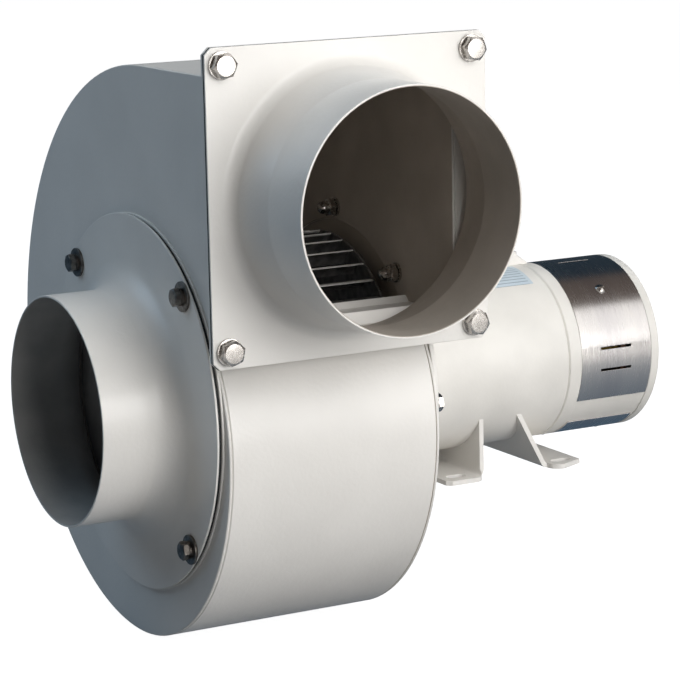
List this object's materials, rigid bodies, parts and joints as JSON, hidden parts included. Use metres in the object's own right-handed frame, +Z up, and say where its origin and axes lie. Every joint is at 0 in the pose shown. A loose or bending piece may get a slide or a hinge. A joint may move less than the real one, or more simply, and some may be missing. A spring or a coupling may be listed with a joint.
{
  "type": "dc blower fan",
  "caption": "Centrifugal blower: sheet-steel scroll with round inlet and outlet collars, forward-curved impeller and a foot-mounted brush dc motor on the shaft",
  "frame": {"origin": "centre of the four foot slots, on the plane that the feet stand on", "axes": "+X along the shaft from the inlet to the motor's rear end, -Y the way the outlet blows, +Z up"},
  "size_m": [0.4012, 0.3906, 0.373],
  "materials": {
    "white_powder_coat": "fine orange-peel powder coat",
    "white_casting": "powder-coated casting",
    "stainless_fasteners": "turned and washed",
    "polished_band": "polished stainless strip",
    "galvanised_steel": "galvanised sheet",
    "machined_steel": "ground and machined",
    "hub_aluminium": "turned",
    "gasket_rubber": "smooth sheet",
    "ferrite": "sintered, ground",
    "laminations": "stacked sheets",
    "copper": "varnished wire and bars",
    "brass_parts": "pressed",
    "carbon": "pressed carbon",
    "phenolic": "machined board",
    "spring_steel": "rolled strip",
    "grey_plastic": "moulded",
    "ivory_plastic": "moulded"
  },
  "bodies": {
    "frame": {"scroll_band": "white_powder_coat", "inlet_side_plate": "white_powder_coat", "motor_side_plate": "white_powder_coat", "duct_floor": "white_powder_coat", "outlet_frame": "white_powder_coat", "outlet_gasket": "gasket_rubber", "outlet_collar": "white_powder_coat", "outlet_bolts": "stainless_fasteners", "outlet_washers": "stainless_fasteners", "outlet_nuts": "stainless_fasteners", "inlet_nozzle": "white_powder_coat", "inlet_gasket": "gasket_rubber", "inlet_collar": "white_powder_coat", "inlet_bolts": "stainless_fasteners", "inlet_spring_washers": "stainless_fasteners", "inlet_washers": "stainless_fasteners", "inlet_nuts": "stainless_fasteners", "motor_plate": "white_powder_coat", "motor_plate_bolts": "stainless_fasteners", "motor_plate_washers": "stainless_fasteners", "motor_plate_cap_nuts": "stainless_fasteners", "drive_end_bell": "white_casting", "bell_screws": "stainless_fasteners", "motor_tube": "white_powder_coat", "field_magnets": "ferrite", "rear_bell": "white_casting", "through_bolts": "stainless_fasteners", "brush_cover_band": "polished_band", "band_screw": "stainless_fasteners", "brush_cover_lower": "polished_band", "lower_cover_screws": "stainless_fasteners", "brush_ring": "phenolic", "brush_boxes": "brass_parts", "brushes": "carbon", "brush_springs": "spring_steel", "terminal_box": "white_powder_coat", "terminal_lid": "white_powder_coat", "lid_screws": "stainless_fasteners", "terminal_strip": "ivory_plastic", "cable_gland": "grey_plastic", "front_foot": "white_powder_coat", "rear_foot": "white_powder_coat", "front_bearing_outer": "machined_steel", "rear_bearing_outer": "machined_steel"},
    "rotor": {"armature_shaft": "machined_steel", "armature_core": "laminations", "armature_windings": "copper", "commutator": "copper", "front_bearing_inner": "machined_steel", "rear_bearing_inner": "machined_steel", "impeller_back_plate": "galvanised_steel", "impeller_front_ring": "galvanised_steel", "impeller_blades": "galvanised_steel", "impeller_hub": "hub_aluminium", "hub_rivets": "hub_aluminium", "shaft_key": "machined_steel", "hub_end_washer": "stainless_fasteners", "hub_end_screw": "stainless_fasteners"},
    "front_balls": {"front_bearing_balls": "machined_steel"},
    "rear_balls": {"rear_bearing_balls": "machined_steel"}
  },
  "joints": [
    {"name": "rotor_spin", "type": "hinge", "parent": "frame", "child": "rotor", "pos_m": [0, 0, 0.068], "axis": [1, 0, 0], "continuous": true},
    {"name": "front_balls_spin", "type": "hinge", "parent": "frame", "child": "front_balls", "pos_m": [-0.081, 0, 0.068], "axis": [1, 0, 0], "continuous": true},
    {"name": "rear_balls_spin", "type": "hinge", "parent": "frame", "child": "rear_balls", "pos_m": [0.0992, 0, 0.068], "axis": [1, 0, 0], "continuous": true}
  ],
  "couplings": [
    {"joint": "front_balls_spin", "follows": "rotor_spin", "ratio": 0.39},
    {"joint": "rear_balls_spin", "follows": "rotor_spin", "ratio": 0.39}
  ]
}
